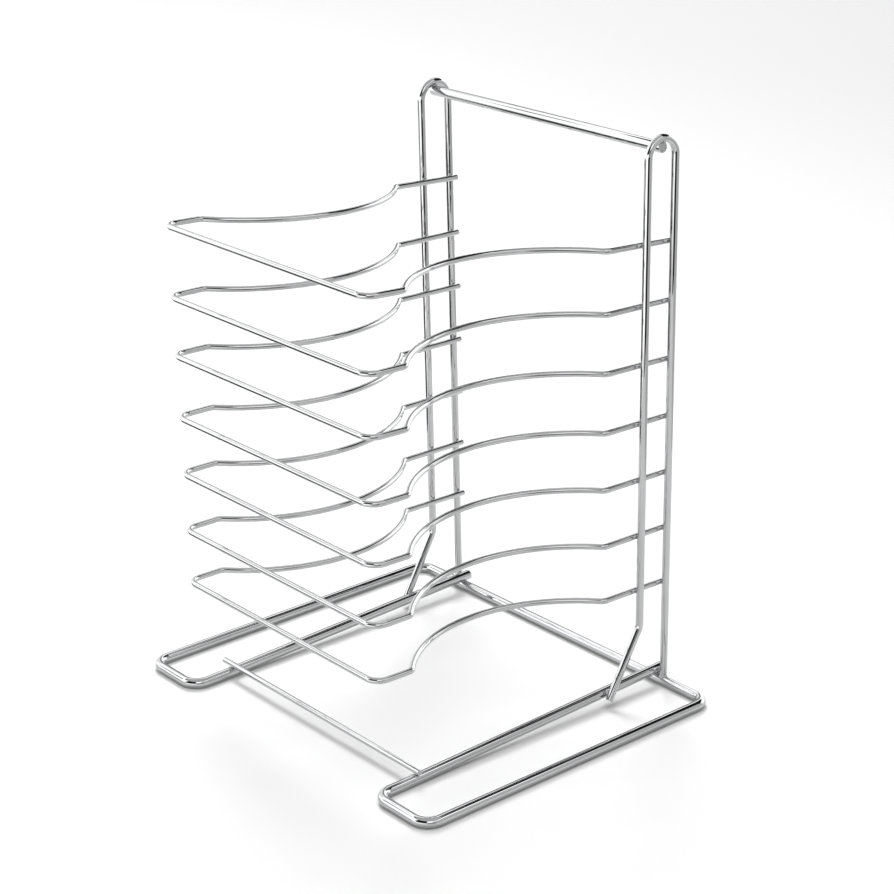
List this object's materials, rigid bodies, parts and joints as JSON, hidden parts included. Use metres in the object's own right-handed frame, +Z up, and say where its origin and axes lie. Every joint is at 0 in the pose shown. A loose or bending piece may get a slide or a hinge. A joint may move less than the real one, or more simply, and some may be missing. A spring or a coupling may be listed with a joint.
{
  "type": "sheet pan rack",
  "caption": "Free-standing rack of chrome-plated steel rod with stacked open-front pan shelves, two hairpin uprights, a carrying rod and a low base with two long feet.",
  "frame": {"origin": "on the floor under the middle of the rack's bounding box", "axes": "+X to the right seen from the open front, +Y to the rear, where the uprights stand, +Z up; pans slide in along +Y"},
  "size_m": [0.385, 0.319, 0.4869],
  "materials": {
    "chrome_rod": "bright chrome plating on drawn steel rod",
    "chrome_weld": "chrome plating over small resistance weld beads, slightly duller"
  },
  "bodies": {
    "root": {"base_wire": "chrome_rod", "left_upright": "chrome_rod", "right_upright": "chrome_rod", "handle_rod": "chrome_rod", "front_cross_bar": "chrome_rod", "shelf_1": "chrome_rod", "shelf_2": "chrome_rod", "shelf_3": "chrome_rod", "shelf_4": "chrome_rod", "shelf_5": "chrome_rod", "shelf_6": "chrome_rod", "shelf_7": "chrome_rod", "shelf_1_welds": "chrome_weld", "shelf_2_welds": "chrome_weld", "shelf_3_welds": "chrome_weld", "shelf_4_welds": "chrome_weld", "shelf_5_welds": "chrome_weld", "shelf_6_welds": "chrome_weld", "shelf_7_welds": "chrome_weld", "handle_welds": "chrome_weld", "rail_end_welds": "chrome_weld", "upright_foot_welds": "chrome_weld", "brace_welds": "chrome_weld", "cross_bar_welds": "chrome_weld"}
  },
  "joints": []
}
